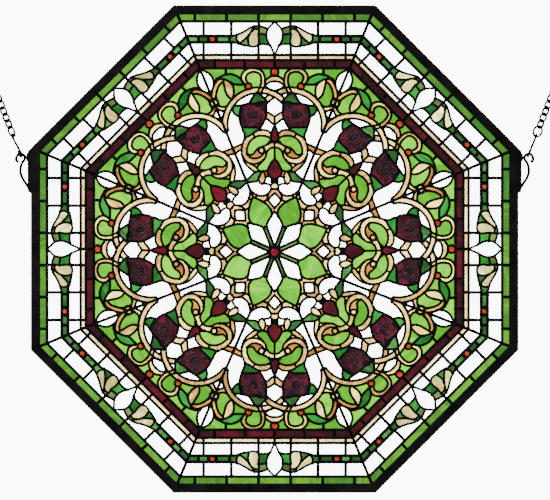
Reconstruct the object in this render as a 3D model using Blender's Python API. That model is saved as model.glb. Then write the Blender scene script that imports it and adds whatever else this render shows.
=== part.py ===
"""Octagonal leaded glass panel in a black metal channel, hung from two chains.

The panel stands in the XZ plane with its front towards -Y. The origin is midway between
the two end rings, at the height where their hooks carry them. Sizes are in metres.
"""

import math

import bpy
import numpy as np
from mathutils import Vector
from mathutils.geometry import delaunay_2d_cdt

MM = 0.001

# Panel and channel frame
PANEL_WIDTH = 0.635
FRAME_FACE = 0.012
FRAME_DEPTH = 0.007
FRAME_WEB = 0.003

# Glass and lead
GLASS_THICKNESS = 0.003
LEAD_WIDTH = 0.0026
LEAD_DEPTH = 0.005
CLEARANCE = 0.0003

# Border bands, from the frame inwards, each measured between lead centre lines
EDGE_BAND = 0.0092
OUTER_TILE_BAND = 0.0188
STEM_BAND = 0.0085
INNER_TILE_BAND = 0.0163
CREAM_BAND = 0.0067
RUBY_BAND = 0.0105

# Field pattern and the jewel in its middle
ARC_TURN = math.radians(30)
ROSETTE_DROP = 0.0039
ROSETTE_NARROWING = 0.055
JEWEL_DOME = 0.0035

# Hangers of bent wire, each beside a strap on the frame's upright
HANGER_WIRE = 0.003
HANGER_HEIGHT = 0.0575
STRAP_DEPTH = 0.004

# Hooks and chains, which run up and outwards in a straight line
LEAN = math.radians(21.2)
HOOK_WIRE = 0.0024
HOOK_BEND = 0.0042
HOOK_SHANK = 0.022
LARGE_WIRE = 0.002
LARGE_LENGTH = 0.0158
LARGE_WIDTH = 0.0145
LINK_WIRE = 0.0014
LINK_LENGTH = 0.0118
LINK_WIDTH = 0.0098
LINK_COUNT = 6
LINK_TWIST = math.radians(36)
RING_WIRE = 0.002
RING_LENGTH = 0.015
CONTACT = 0.00012

# Flat sides round the wires
ROD_SIDES = 5
CHAIN_SIDES = 4

# Sizes that follow from those above
OUTER_APOTHEM = PANEL_WIDTH / 2
INNER_APOTHEM = OUTER_APOTHEM - FRAME_FACE
EDGE_LEAD = INNER_APOTHEM - EDGE_BAND
TILE_LEAD = EDGE_LEAD - OUTER_TILE_BAND
STEM_LEAD = TILE_LEAD - STEM_BAND
CREAM_LEAD = STEM_LEAD - INNER_TILE_BAND
RUBY_LEAD = CREAM_LEAD - CREAM_BAND
FIELD_LEAD = RUBY_LEAD - RUBY_BAND
FIELD_UNIT = FIELD_LEAD / 235.5  # the field's drawing is 235.5 units from centre to side
CENTRE_RADIUS = 8.0 * FIELD_UNIT
HANGER_UNIT = HANGER_HEIGHT / 57.5  # the hanger's drawing is 57.5 units tall
SLOT_HALF = GLASS_THICKNESS / 2 + CLEARANCE
GLASS_EDGE = OUTER_APOTHEM - FRAME_WEB - CLEARANCE
CORNER_HEIGHT = OUTER_APOTHEM * math.tan(math.pi / 8)
EIGHTH = math.pi / 4

GLASS = {
    "edge_glass": ((0.28, 0.47, 0.09), 0.15),
    "outer_tiles": ((0.93, 0.95, 0.95), 0.9),
    "stem_band": ((0.05, 0.2, 0.04), 0.1),
    "inner_tiles": ((0.93, 0.95, 0.95), 0.9),
    "cream_band": ((0.82, 0.71, 0.56), 0.1),
    "ruby_band": ((0.13, 0.005, 0.015), 0.1),
    "background": ((0.21, 0.59, 0.04), 0.15),
    "strapwork": ((0.75, 0.6, 0.33), 0.1),
    "rose": ((0.07, 0.004, 0.012), 0.1),
    "heart": ((0.93, 0.95, 0.95), 0.9),
    "clear_field": ((0.93, 0.95, 0.95), 0.9),
    "knot": ((0.26, 0.5, 0.07), 0.15),
    "rosette_border": ((0.75, 0.6, 0.33), 0.1),
    "petal": ((0.9, 0.91, 0.88), 0.6),
    "leaf_star": ((0.19, 0.42, 0.05), 0.15),
}


def clear_scene():
    for obj in list(bpy.data.objects):
        bpy.data.objects.remove(obj, do_unlink=True)


def material(name, colour, roughness, metallic=0.0, transmission=0.0):
    made = bpy.data.materials.new(name)
    made.use_nodes = True
    made.diffuse_color = (*colour, 1.0)
    shader = made.node_tree.nodes["Principled BSDF"]
    shader.inputs["Base Color"].default_value = (*colour, 1.0)
    shader.inputs["Roughness"].default_value = roughness
    shader.inputs["Metallic"].default_value = metallic
    shader.inputs["Transmission Weight"].default_value = transmission
    return made


def add_object(name, points, faces, made, smooth=False):
    mesh = bpy.data.meshes.new(name)
    mesh.from_pydata([tuple(point) for point in points], [], faces)
    mesh.validate()
    obj = bpy.data.objects.new(name, mesh)
    bpy.context.scene.collection.objects.link(obj)
    mesh.materials.append(made)
    if smooth:
        mesh.shade_smooth()
    return obj


# Plane geometry of the pattern: (x, up) points, up being the middle of a side
def turned(point, angle, mirrored=False):
    x = -point[0] if mirrored else point[0]
    return (
        x * math.cos(angle) + point[1] * math.sin(angle),
        point[1] * math.cos(angle) - x * math.sin(angle),
    )


def corner(apothem):
    """The octagon's corner on the right of the upper side."""
    return (apothem * math.tan(math.pi / 8), apothem)


def octagon(apothem):
    return [turned(corner(apothem), -EIGHTH * side) for side in range(8)]


def arc(centre, radius, start, end):
    """Points of an arc between two angles, one about every ARC_TURN."""
    steps = max(1, round(abs(end - start) / ARC_TURN))
    angles = [start + (end - start) * i / steps for i in range(steps + 1)]
    return [
        (centre[0] + radius * math.cos(a), centre[1] + radius * math.sin(a)) for a in angles
    ]


def on_corner(x):
    """The point this far from the sector's axis, on the line to the field's corner."""
    return (x, x / math.tan(math.pi / 8))


PETAL_ROOT = (0.0, 14.5)
LEAF_TIP = on_corner(28.6)


def strap_lines():
    """The two edges of the strap ring round a rose, and where the inner one is topmost."""
    x, y = 20.5, 163.0
    outer, inner = 48.0, 41.0
    outer_end = math.acos(-x / outer)
    outer_edge = arc((x, y), outer, math.radians(3), outer_end)
    inner_edge = arc((x, y), inner, math.radians(-18.2), math.pi / 2)
    outer_edge = [on_corner(68.5), *outer_edge[1:-1], (0.0, y + math.sqrt(outer**2 - x**2))]
    inner_edge = [on_corner(61.8), (59.4, 150.2), *inner_edge[1:-1], (x, y + inner)]
    crossing = (0.0, y + math.sqrt(inner**2 - x**2))
    return outer_edge, inner_edge, crossing


def half_sector_lines():
    """Lead centre lines of half a sector, in units of the field's drawing."""
    outer_edge, inner_edge, crossing = strap_lines()
    rose_top = inner_edge[-1]
    tail_end = (11.0, 190.5)
    calyx = (27.0, 153.5)
    petal_side = (5.5, 47.5)
    return [
        outer_edge,
        inner_edge,
        [crossing, tail_end, rose_top],
        [tail_end, (11.0, 174.0), calyx, (41.5, 156.0), (42.5, 184.0), rose_top],
        [(0.0, 164.0), (5.0, 154.5), calyx],
        [calyx, (41.0, 142.0), (42.5, 120.0), (27.0, 103.0), (0.0, 94.0)],
        [(0.0, 83.0), (12.5, 72.0), on_corner(31.3)],
        [(0.0, 53.0), petal_side, (9.2, 33.0), PETAL_ROOT],
        [petal_side, (11.5, 57.5), LEAF_TIP],
    ]


def in_field(point):
    """A point of the field's drawing, in metres about the panel's centre.

    The rosette was leaded a little low and narrow, which fades out towards the field's edge.
    """
    x, y = (value * FIELD_UNIT for value in point)
    out = min(math.hypot(x, y) / FIELD_LEAD, 1.0)
    narrow = ROSETTE_NARROWING * min(1.27 * (1 - out), 1.0) ** 2
    return (x * (1 - narrow), y - ROSETTE_DROP * (1 - out**1.5))


def lead_lines():
    """Every lead centre line of the panel, in metres about its centre."""
    lines = []
    for sector in range(8):
        for mirrored in (False, True):
            for line in half_sector_lines():
                copy = [turned(point, EIGHTH * sector, mirrored) for point in line]
                lines.append([in_field(point) for point in copy])
    for apothem in (EDGE_LEAD, TILE_LEAD, STEM_LEAD, CREAM_LEAD, RUBY_LEAD, FIELD_LEAD):
        lines.append(octagon(apothem) + octagon(apothem)[:1])
    centre = [(x, y - ROSETTE_DROP) for x, y in jewel_ring(CENTRE_RADIUS)]
    lines.append(centre + centre[:1])
    return lines


def jewel_ring(radius):
    """Eight points round the middle, between the sectors' axes."""
    return [turned((0.0, radius), EIGHTH * (i + 0.5)) for i in range(8)]


def direction(point, other):
    return math.atan2(other[1] - point[1], other[0] - point[0])


def strip_corner(point, heading, turn, half):
    """The corner between two strips that leave a point this far apart in angle."""
    middle = heading + turn / 2
    reach = half / math.sin(turn / 2)
    return (point[0] + reach * math.cos(middle), point[1] + reach * math.sin(middle))


def strip_quads(lines, half):
    """Two quads beside each stretch of the lines, mitred wherever stretches meet."""
    arms = {}
    stretches = set()
    for line in lines:
        rounded = [(round(x, 7), round(y, 7)) for x, y in line]
        for start, end in zip(rounded, rounded[1:]):
            arms.setdefault(start, set()).add(end)
            arms.setdefault(end, set()).add(start)
            stretches.add((min(start, end), max(start, end)))
    left = {}
    right = {}
    for point, others in arms.items():
        others = sorted(others, key=lambda other: direction(point, other))
        for other, following in zip(others, others[1:] + others[:1]):
            heading = direction(point, other)
            turn = (direction(point, following) - heading) % (2 * math.pi)
            if len(others) == 1:
                left[point, other] = strip_corner(point, heading, math.pi, half)
                right[point, other] = strip_corner(point, heading + math.pi, math.pi, half)
            else:
                left[point, other] = strip_corner(point, heading, turn, half)
                right[point, following] = left[point, other]
    quads = []
    for start, end in sorted(stretches):
        quads.append((start, left[start, end], right[end, start], end))
        quads.append((start, end, left[end, start], right[start, end]))
    return quads


def inside_quads(points, quads):
    """Which of the points lie in any of the quads."""
    found = np.zeros(len(points), bool)
    for quad in quads:
        corners = np.array([tuple(point) for point in quad])
        along = np.roll(corners, -1, axis=0) - corners
        signs = [
            a[0] * (points[:, 1] - c[1]) - a[1] * (points[:, 0] - c[0])
            for c, a in zip(corners, along)
        ]
        found |= (np.min(signs, axis=0) > 0) | (np.max(signs, axis=0) < 0)
    return found


def triangulated(quads, rim):
    """Triangles of the plane that keep every side of the quads and of the rim."""
    points = [Vector(point) / MM for quad in quads for point in quad]
    edges = [(4 * q + i, 4 * q + (i + 1) % 4) for q in range(len(quads)) for i in range(4)]
    first = len(points)
    points += [Vector(point) / MM for point in rim]
    edges += [(first + i, first + (i + 1) % len(rim)) for i in range(len(rim))]
    found = delaunay_2d_cdt(points, edges, [], 0, 1e-4)
    corners = np.array([tuple(point) for point in found[0]]) * MM
    return corners, np.array(found[2])


def layered(name, corners, triangles, layers, made):
    """A flat solid in layers: each has a front depth, a back depth and the triangles it fills."""
    count = len(corners)
    depths = [layers[0][0]] + [back for _, back, _ in layers]
    points = [(x, y, z + PANEL_HEIGHT) for y in depths for x, z in corners]
    nothing = np.zeros(len(triangles), bool)
    filled = [nothing] + [mask for _, _, mask in layers] + [nothing]
    faces = []
    for level, (before, after) in enumerate(zip(filled, filled[1:])):
        for i in np.flatnonzero(after & ~before):
            faces.append([int(v) + level * count for v in triangles[i]])
        for i in np.flatnonzero(before & ~after):
            faces.append([int(v) + level * count for v in triangles[i][::-1]])
    for level, (_, _, mask) in enumerate(layers):
        own = triangles[mask].tolist()
        sides = {(a, b) for face in own for a, b in zip(face, face[1:] + face[:1])}
        front, back = level * count, (level + 1) * count
        for a, b in sorted(sides):
            if (b, a) not in sides:
                faces.append([b + front, a + front, a + back, b + back])
    used, index = np.unique(np.concatenate(faces), return_inverse=True)
    ends = np.cumsum([len(face) for face in faces])[:-1]
    faces = [face.tolist() for face in np.split(index, ends)]
    return add_object(name, [points[i] for i in used], faces, made)


def regions(triangles, kept):
    """Numbers the connected groups of kept triangles, and gives -1 to the others."""
    edges = {}
    for i in np.flatnonzero(kept):
        a, b, c = triangles[i].tolist()
        for edge in ((a, b), (b, c), (c, a)):
            edges.setdefault(tuple(sorted(edge)), []).append(i)
    near = {}
    for pair in edges.values():
        if len(pair) == 2:
            near.setdefault(pair[0], []).append(pair[1])
            near.setdefault(pair[1], []).append(pair[0])
    group = np.full(len(triangles), -1)
    count = 0
    for start in np.flatnonzero(kept):
        if group[start] >= 0:
            continue
        waiting = [start]
        group[start] = count
        while waiting:
            for other in near.get(waiting.pop(), ()):
                if group[other] < 0:
                    group[other] = count
                    waiting.append(other)
        count += 1
    return group


def group_at(point, corners, triangles, group):
    """The group of the triangle that holds the point."""
    a, b, c = (corners[triangles[:, i]] for i in range(3))
    turns = [
        (q[:, 0] - p[:, 0]) * (point[1] - p[:, 1]) - (q[:, 1] - p[:, 1]) * (point[0] - p[:, 0])
        for p, q in ((a, b), (b, c), (c, a))
    ]
    inside = (np.min(turns, axis=0) >= 0) & (group >= 0)
    return group[np.flatnonzero(inside)[0]]


def band_middle(outer, inner):
    """A point of a border band, a little to the right of the upper side's middle."""
    return (PANEL_WIDTH / 50, (outer + inner) / 2)


def band_places():
    """A point in each border band of glass, in metres about the panel's centre."""
    return [
        ("edge_glass", band_middle(INNER_APOTHEM, EDGE_LEAD)),
        ("outer_tiles", band_middle(EDGE_LEAD, TILE_LEAD)),
        ("stem_band", band_middle(TILE_LEAD, STEM_LEAD)),
        ("inner_tiles", band_middle(STEM_LEAD, CREAM_LEAD)),
        ("cream_band", band_middle(CREAM_LEAD, RUBY_LEAD)),
        ("ruby_band", band_middle(RUBY_LEAD, FIELD_LEAD)),
    ]


def field_places():
    """Each glass region of the field's drawing: how often it repeats, and a point in it."""
    return [
        ("background", 1, (20.0, 222.0)),
        ("strapwork", 1, (20.5, 207.5)),
        ("rose", 16, (27.0, 176.0)),
        ("heart", 8, (2.0, 180.0)),
        ("clear_field", 1, (52.0, 160.0)),
        ("knot", 8, (2.0, 130.0)),
        ("rosette_border", 1, (3.0, 68.0)),
        ("petal", 8, (1.0, 32.0)),
        ("leaf_star", 1, (18.0, 54.0)),
    ]


def repeated(place, copies):
    """The place in each sector of the field, and in its mirror image for sixteen copies."""
    both = copies == 16
    return [
        in_field(turned(place, EIGHTH * (i // 2 if both else i), both and i % 2 == 1))
        for i in range(copies)
    ]


def face_lines():
    """Lead lines that lie on the front of the glass only, in metres about the centre."""
    lines = []
    for sector in range(8):
        angle = EIGHTH * sector
        start = turned(corner(INNER_APOTHEM - CLEARANCE - LEAD_WIDTH / 2), angle)
        lines.append([start, in_field(turned(LEAF_TIP, angle))])
        x, y = turned((0.0, CENTRE_RADIUS), angle)
        lines.append([in_field(turned(PETAL_ROOT, angle)), (x, y - ROSETTE_DROP)])
    return lines


def make_leading(lines, lead):
    rim = octagon(GLASS_EDGE)
    through = strip_quads(lines, LEAD_WIDTH / 2)
    facing = strip_quads(face_lines(), LEAD_WIDTH / 2)
    corners, triangles = triangulated(through + facing, rim)
    middles = corners[triangles].mean(axis=1)
    deep = inside_quads(middles, through)
    shallow = inside_quads(middles, facing)
    layers = [
        (-LEAD_DEPTH / 2, -SLOT_HALF, deep | shallow),
        (-SLOT_HALF, LEAD_DEPTH / 2, deep),
    ]
    layered("leading", corners, triangles, layers, lead)


def make_glass(lines):
    rim = octagon(GLASS_EDGE)
    quads = strip_quads(lines, LEAD_WIDTH / 2 + CLEARANCE)
    corners, triangles = triangulated(quads, rim)
    middles = corners[triangles].mean(axis=1)
    group = regions(triangles, ~inside_quads(middles, quads))
    places = [(name, [point]) for name, point in band_places()]
    places += [(name, repeated(point, copies)) for name, copies, point in field_places()]
    for name, points in places:
        colour, transmission = GLASS[name]
        made = material(name, colour, 0.1, transmission=transmission)
        for i, point in enumerate(points):
            own = group == group_at(point, corners, triangles, group)
            node = name if len(points) == 1 else f"{name}_{i + 1:02d}"
            layers = [(-GLASS_THICKNESS / 2, GLASS_THICKNESS / 2, own)]
            layered(node, corners, triangles, layers, made)


def make_jewel(made):
    """The round jewel in the middle, domed at the front and at the back."""
    radius = CENTRE_RADIUS - (LEAD_WIDTH / 2 + CLEARANCE) / math.cos(EIGHTH / 2)
    crown = 0.55 * radius
    rings = [
        (crown, -JEWEL_DOME),
        (radius, -GLASS_THICKNESS / 2),
        (radius, GLASS_THICKNESS / 2),
        (crown, JEWEL_DOME),
    ]
    height = PANEL_HEIGHT - ROSETTE_DROP
    points = [(x, y, z + height) for r, y in rings for x, z in jewel_ring(r)]
    faces = [
        (8 * ring + i, 8 * ring + (i + 1) % 8, 8 * ring + 8 + (i + 1) % 8, 8 * ring + 8 + i)
        for ring in range(3)
        for i in range(8)
    ]
    faces += [tuple(reversed(range(8))), tuple(range(24, 32))]
    add_object("centre_jewel", points, faces, made)


# Frame
def frame_profile():
    """The channel's section as (apothem, depth) points, open towards the glass."""
    back = FRAME_DEPTH / 2
    slot_floor = OUTER_APOTHEM - FRAME_WEB
    return [
        (OUTER_APOTHEM, -back),
        (OUTER_APOTHEM, back),
        (INNER_APOTHEM, back),
        (INNER_APOTHEM, SLOT_HALF),
        (slot_floor, SLOT_HALF),
        (slot_floor, -SLOT_HALF),
        (INNER_APOTHEM, -SLOT_HALF),
        (INNER_APOTHEM, -back),
    ]


def strap_outline():
    """The strap that carries a hanger, as (out, up) points from the frame's outer corner."""
    bury = -FRAME_WEB / HANGER_UNIT * 2 / 3
    drawn = [
        (bury, -0.6 * bury),
        (3.2, -3.2),
        (6.0, -9.5),
        (6.0, -15.5),
        (4.3, -18.5),
        (4.3, -46.2),
        (0.0, -53.5),
        (bury, -53.5),
    ]
    return [(out * HANGER_UNIT, up * HANGER_UNIT) for out, up in drawn]


def make_frame(made):
    profile = frame_profile()
    count = len(profile)
    points = []
    for side in range(8):
        for apothem, depth in profile:
            x, z = octagon(apothem)[side]
            points.append((x, depth, z + PANEL_HEIGHT))
    faces = []
    for side in range(8):
        here = count * side
        there = count * ((side + 1) % 8)
        for i in range(count):
            j = (i + 1) % count
            faces.append((here + i, there + i, there + j, here + j))
    frame = add_object("frame", points, [tuple(reversed(face)) for face in faces], made)
    corner_height = CORNER_HEIGHT + PANEL_HEIGHT
    for side in (-1, 1):
        outline = [(side * (OUTER_APOTHEM + out), corner_height + up) for out, up in strap_outline()]
        unite(frame, prism("strap", outline[::-side], STRAP_DEPTH, made))


def prism(name, outline, thickness, made):
    count = len(outline)
    points = [(x, -thickness / 2, z) for x, z in outline]
    points += [(x, thickness / 2, z) for x, z in outline]
    faces = [tuple(reversed(range(count))), tuple(range(count, 2 * count))]
    for i in range(count):
        j = (i + 1) % count
        faces.append((i, j, count + j, count + i))
    return add_object(name, points, faces, made)


def unite(base, other):
    """Joins the other solid to the base, which keeps its name."""
    modifier = base.modifiers.new("joint", "BOOLEAN")
    modifier.operation = "UNION"
    modifier.solver = "EXACT"
    modifier.object = other
    graph = bpy.context.evaluated_depsgraph_get()
    merged = bpy.data.meshes.new_from_object(base.evaluated_get(graph))
    base.modifiers.remove(modifier)
    base.data = merged
    bpy.data.objects.remove(other, do_unlink=True)


# Bent wire
def swept(name, path, radius, sides, made, closed=False):
    """A round wire along a path of points, capped unless the path is closed."""
    path = [Vector(point) for point in path]
    count = len(path)
    points = []
    across = None
    for i, point in enumerate(path):
        before = path[i - 1] if i or closed else point
        after = path[(i + 1) % count] if i < count - 1 or closed else point
        along = (after - before).normalized()
        if across is None:
            across = along.orthogonal().normalized()
        across = (across - along * across.dot(along)).normalized()
        other = along.cross(across)
        for side in range(sides):
            angle = 2 * math.pi * side / sides
            points.append(point + radius * (across * math.cos(angle) + other * math.sin(angle)))
    faces = []
    for i in range(count if closed else count - 1):
        for side in range(sides):
            a, b = i * sides + side, i * sides + (side + 1) % sides
            step = ((i + 1) % count) * sides
            faces.append((a, b, step + b % sides, step + a % sides))
    if not closed:
        faces.append(tuple(reversed(range(sides))))
        faces.append(tuple(range((count - 1) * sides, count * sides)))
    return add_object(name, points, faces, made, smooth=True)


HOLD_POINT = (14.0, -7.3)


def hanger_path():
    """The left hanger as (out, up) points from the frame's outer corner, in metres."""
    foot = (HANGER_WIRE / 2 + CLEARANCE) / HANGER_UNIT
    drawn = [
        (foot, -57.5),
        (foot + 0.6, -53.0),
        (6.3, -46.5),
        (11.3, -38.5),
        (13.7, -31.0),
        (12.0, -20.6),
        (8.6, -15.4),
        (7.8, -11.8),
        (10.4, -8.6),
        HOLD_POINT,
        (17.3, -9.3),
        (19.2, -13.7),
        (18.2, -17.4),
        (15.6, -17.2),
    ]
    return [(out * HANGER_UNIT, up * HANGER_UNIT) for out, up in drawn]


PULL_OUT = OUTER_APOTHEM + HOLD_POINT[0] * HANGER_UNIT
PULL_UP = CORNER_HEIGHT + HOLD_POINT[1] * HANGER_UNIT
HOOK_DROP = ((HANGER_WIRE + HOOK_WIRE) / 2 + 2 * CLEARANCE) / math.cos(LEAN)
HOOK_LIFT = HOOK_BEND - HOOK_DROP
EYE_TOP = HOOK_LIFT + HOOK_SHANK + HOOK_BEND
LARGE_START = EYE_TOP - HOOK_WIRE / 2 - CLEARANCE - LARGE_WIRE
LARGE_TOP = LARGE_START + LARGE_LENGTH
LINK_START = LARGE_TOP - LARGE_WIRE - LINK_WIRE + CONTACT
LINK_PITCH = LINK_LENGTH - 2 * LINK_WIRE + CONTACT
LINKS_TOP = LINK_START + LINK_PITCH * (LINK_COUNT - 1) + LINK_LENGTH
RING_START = LINKS_TOP - LINK_WIRE - RING_WIRE + CONTACT
CARRIED = RING_START + RING_LENGTH - RING_WIRE
PANEL_HEIGHT = -(PULL_UP + CARRIED * math.cos(LEAN))


def along_chain(out, depth, up, yaw, side):
    """A point of a hook or link, given along and across the chain, in world metres."""
    across = out * math.cos(yaw) - depth * math.sin(yaw)
    y = out * math.sin(yaw) + depth * math.cos(yaw)
    x = PULL_OUT + across * math.cos(LEAN) + up * math.sin(LEAN)
    z = PULL_UP - across * math.sin(LEAN) + up * math.cos(LEAN)
    return (side * x, y, z + PANEL_HEIGHT)


def circle_points(radius, start, end, steps):
    angles = [math.radians(start + (end - start) * i / steps) for i in range(steps + 1)]
    return [(radius * math.cos(a), radius * math.sin(a)) for a in angles]


def hook_path():
    """An S in its own plane, its open bend below and its closed eye above."""
    lower = circle_points(HOOK_BEND, 60, -180, 7)
    upper = circle_points(HOOK_BEND, 0, 222, 7)
    points = [(x, z + HOOK_LIFT) for x, z in lower]
    points += [(x, z + HOOK_LIFT + HOOK_SHANK) for x, z in upper]
    return points


def link_path(length, width, wire, start, steps=8):
    """An oval link's centre line, standing on the given height."""
    half = (width - wire) / 2
    rise = (length - wire) / 2
    middle = start + length / 2
    angles = [2 * math.pi * i / steps for i in range(steps)]
    return [(half * math.sin(a), middle - rise * math.cos(a)) for a in angles]


def make_hanger(word, side, made):
    path = [
        (side * (OUTER_APOTHEM + out), 0.0, CORNER_HEIGHT + PANEL_HEIGHT + up)
        for out, up in hanger_path()
    ]
    swept(f"hanger_{word}", path, HANGER_WIRE / 2, ROD_SIDES, made)


def make_hook(word, side, yaw, made):
    path = [along_chain(x, 0.0, z, yaw, side) for x, z in hook_path()]
    swept(f"hook_{word}", path, HOOK_WIRE / 2, ROD_SIDES, made)


def make_chain(word, side, yaw, made):
    large = link_path(LARGE_LENGTH, LARGE_WIDTH, LARGE_WIRE, LARGE_START)
    path = [along_chain(x, 0.0, z, yaw, side) for x, z in large]
    chain = swept(f"chain_{word}", path, LARGE_WIRE / 2, CHAIN_SIDES, made, closed=True)
    for i in range(LINK_COUNT):
        oval = link_path(LINK_LENGTH, LINK_WIDTH, LINK_WIRE, LINK_START + i * LINK_PITCH, 6)
        turn = LINK_TWIST if i % 2 == 0 else -LINK_TWIST
        path = [along_chain(x, 0.0, z, turn, side) for x, z in oval]
        unite(chain, swept("link", path, LINK_WIRE / 2, CHAIN_SIDES, made, closed=True))
    ring = link_path(RING_LENGTH, RING_LENGTH, RING_WIRE, RING_START)
    turn = -LINK_TWIST if LINK_COUNT % 2 else LINK_TWIST
    path = [along_chain(x, 0.0, z, turn, side) for x, z in ring]
    unite(chain, swept("ring", path, RING_WIRE / 2, CHAIN_SIDES, made, closed=True))


def main():
    clear_scene()
    metal = material("black_patina", (0.012, 0.012, 0.014), 0.4, metallic=0.6)
    lead = material("black_lead", (0.015, 0.016, 0.018), 0.45, metallic=0.5)
    wire = material("black_wire", (0.01, 0.01, 0.01), 0.35, metallic=0.7)
    jewel = material("red_jewel", (0.6, 0.03, 0.05), 0.08, transmission=0.2)
    make_frame(metal)
    lines = lead_lines()
    make_leading(lines, lead)
    make_glass(lines)
    make_jewel(jewel)
    for word, side, hook_yaw, link_yaw in (("left", -1, 66, -52), ("right", 1, 85, 0)):
        make_hanger(word, side, wire)
        make_hook(word, side, math.radians(hook_yaw), wire)
        make_chain(word, side, math.radians(link_yaw), wire)


main()
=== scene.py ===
# %% [markdown]
# # An octagonal stained glass panel on two chains
#
# This file dresses a leaded window panel: a black channel frame, hundreds of pieces of glass held
# by soldered lead, and the bent wire and chain that it hangs from. A glazier starts from a
# full-size drawing, the cartoon, and so does this file: the lead lines are drawn first, the glass
# is cut to fit between them, and the solder runs along them last.

import math
import random

import bpy
import numpy as np
from mathutils import Matrix, Vector
from mathutils.geometry import delaunay_2d_cdt


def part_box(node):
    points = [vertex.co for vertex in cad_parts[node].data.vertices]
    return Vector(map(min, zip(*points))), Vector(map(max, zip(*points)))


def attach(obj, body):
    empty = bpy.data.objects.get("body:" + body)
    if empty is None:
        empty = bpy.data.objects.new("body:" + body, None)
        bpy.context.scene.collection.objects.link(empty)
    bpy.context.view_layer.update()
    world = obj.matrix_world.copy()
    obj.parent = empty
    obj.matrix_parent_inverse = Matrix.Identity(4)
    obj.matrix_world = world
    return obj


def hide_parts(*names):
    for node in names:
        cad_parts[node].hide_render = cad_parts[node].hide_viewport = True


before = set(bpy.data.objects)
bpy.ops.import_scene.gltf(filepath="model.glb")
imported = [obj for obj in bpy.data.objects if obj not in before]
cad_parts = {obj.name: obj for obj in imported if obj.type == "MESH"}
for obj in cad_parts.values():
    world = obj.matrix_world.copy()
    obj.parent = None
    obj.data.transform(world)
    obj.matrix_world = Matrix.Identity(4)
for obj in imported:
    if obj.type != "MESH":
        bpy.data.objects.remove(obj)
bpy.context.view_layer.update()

MM = 0.001
EIGHTH = math.pi / 4
DRAWN_PANEL = 635.0

low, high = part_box("frame")
panel_size = high.z - low.z
panel_middle = (high.z + low.z) / 2
channel_depth = high.y - low.y
SCALE = panel_size / DRAWN_PANEL
half_panel = panel_size / 2
print(f"panel {panel_size / MM:.1f} mm across, centred at height {panel_middle / MM:.1f} mm")

# %% [markdown]
# ## The cartoon
#
# The design repeats sixteen times: eight sides, each mirrored about its middle. So only half a
# side is drawn, in millimetres, with x along the side from its middle and y out from the centre of
# the panel. The half ends on the line from the centre to a corner. A line through many points is
# bent lead, a line of two points is a straight joint, and the finest lines are the seams in a rose.

# %% Half a side, drawn once
SLOPE = math.tan(EIGHTH / 2)


def on_corner_line(height):
    """The point at this height on the line from the centre to a corner."""
    return (height * SLOPE, height)


def arc(middle, radius, start, end, step=6.0):
    """Points along an arc between two angles in degrees."""
    count = max(2, round(abs(end - start) * math.pi / 180 * radius / step) + 1)
    angles = np.radians(np.linspace(start, end, count))
    return [(middle[0] + radius * math.cos(a), middle[1] + radius * math.sin(a)) for a in angles]


RINGS = {"edge": 296.3, "tile": 277.5, "stem": 269.0, "cream": 252.7, "ruby": 246.0, "field": 235.5}
STRAP_MIDDLE = (20.5, 163.0)
STRAP_OUTER = 48.0
STRAP_INNER = 41.0
CHANNEL_LIP = 305.8

border_joints = [
    [(21.0, 296.3), (21.0, CHANNEL_LIP + 1)],
    [(62.5, 296.3), (62.5, CHANNEL_LIP + 1)],
    [(104.0, 296.3), (104.0, CHANNEL_LIP + 1)],
    [on_corner_line(CHANNEL_LIP + 1), on_corner_line(235.5)],
    [(20.5, 290.0), (20.5, 296.3)],
    [(56.5, 277.5), (56.5, 296.3)],
    [(92.5, 277.5), (92.5, 296.3)],
    [(21.0, 246.0), (21.0, 266.1)],
    [(56.5, 246.0), (56.5, 269.0)],
    [(92.5, 246.0), (92.5, 269.0)],
    [(0.0, 246.0), (0.0, 252.7)],
    [(0.0, 235.5), (0.0, 246.0)],
    [(39.0, 235.5), (39.0, 246.0)],
    [(78.0, 235.5), (78.0, 246.0)],
    [(58.7, 269.0), (58.7, 277.5)],
    [(75.8, 269.0), (75.8, 277.5)],
    [(86.3, 269.0), (86.3, 277.5)],
    [(99.2, 269.0), (99.2, 277.5)],
    [(56.0, 277.5), on_corner_line(277.5)],
    [(52.8, 269.0), on_corner_line(269.0)],
    [(63.6, 227.4), (63.6, 235.5)],
]

spray_lines = [
    [(0, 296.3), (2.4, 293.6), (5.5, 290.5), (8.8, 286.7), (10.4, 281), (10.3, 275.6), (8.6, 270.2),
     (5.5, 264.9), (3.2, 259.5), (0, 252.7)],
    [(8.8, 286.7), (14, 288.9), (20.5, 290.4), (26, 290.4), (32, 288), (38, 284.4), (44, 281.2),
     (50, 279), (56, 277.5)],
    [(5.5, 264.9), (9.5, 266.4), (14.5, 266.9), (20, 266.2), (24, 264.2), (28, 263.3), (33, 264.4),
     (38, 265), (43, 266), (48, 267.8), (52.8, 269)],
    [(10.4, 279), (15, 279.8), (18.5, 280.4), (21.3, 280)],
    [(20.5, 290.4), (20.4, 286), (21.2, 278), (20.3, 271.5), (21, 265.9)],
    [(20.4, 286), (24.8, 286.7), (29.3, 284.5), (33.2, 279), (34.6, 273), (34.2, 268.5), (33, 264.4)],
    [(26.2, 290.2), (29.3, 284.5)],
    [(33.2, 279), (37.5, 274.6), (42.3, 270.4), (46.5, 267.4)],
    [(45.4, 268.2), (49, 271.4), (49.7, 275), (48.8, 279.3)],
]

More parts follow.
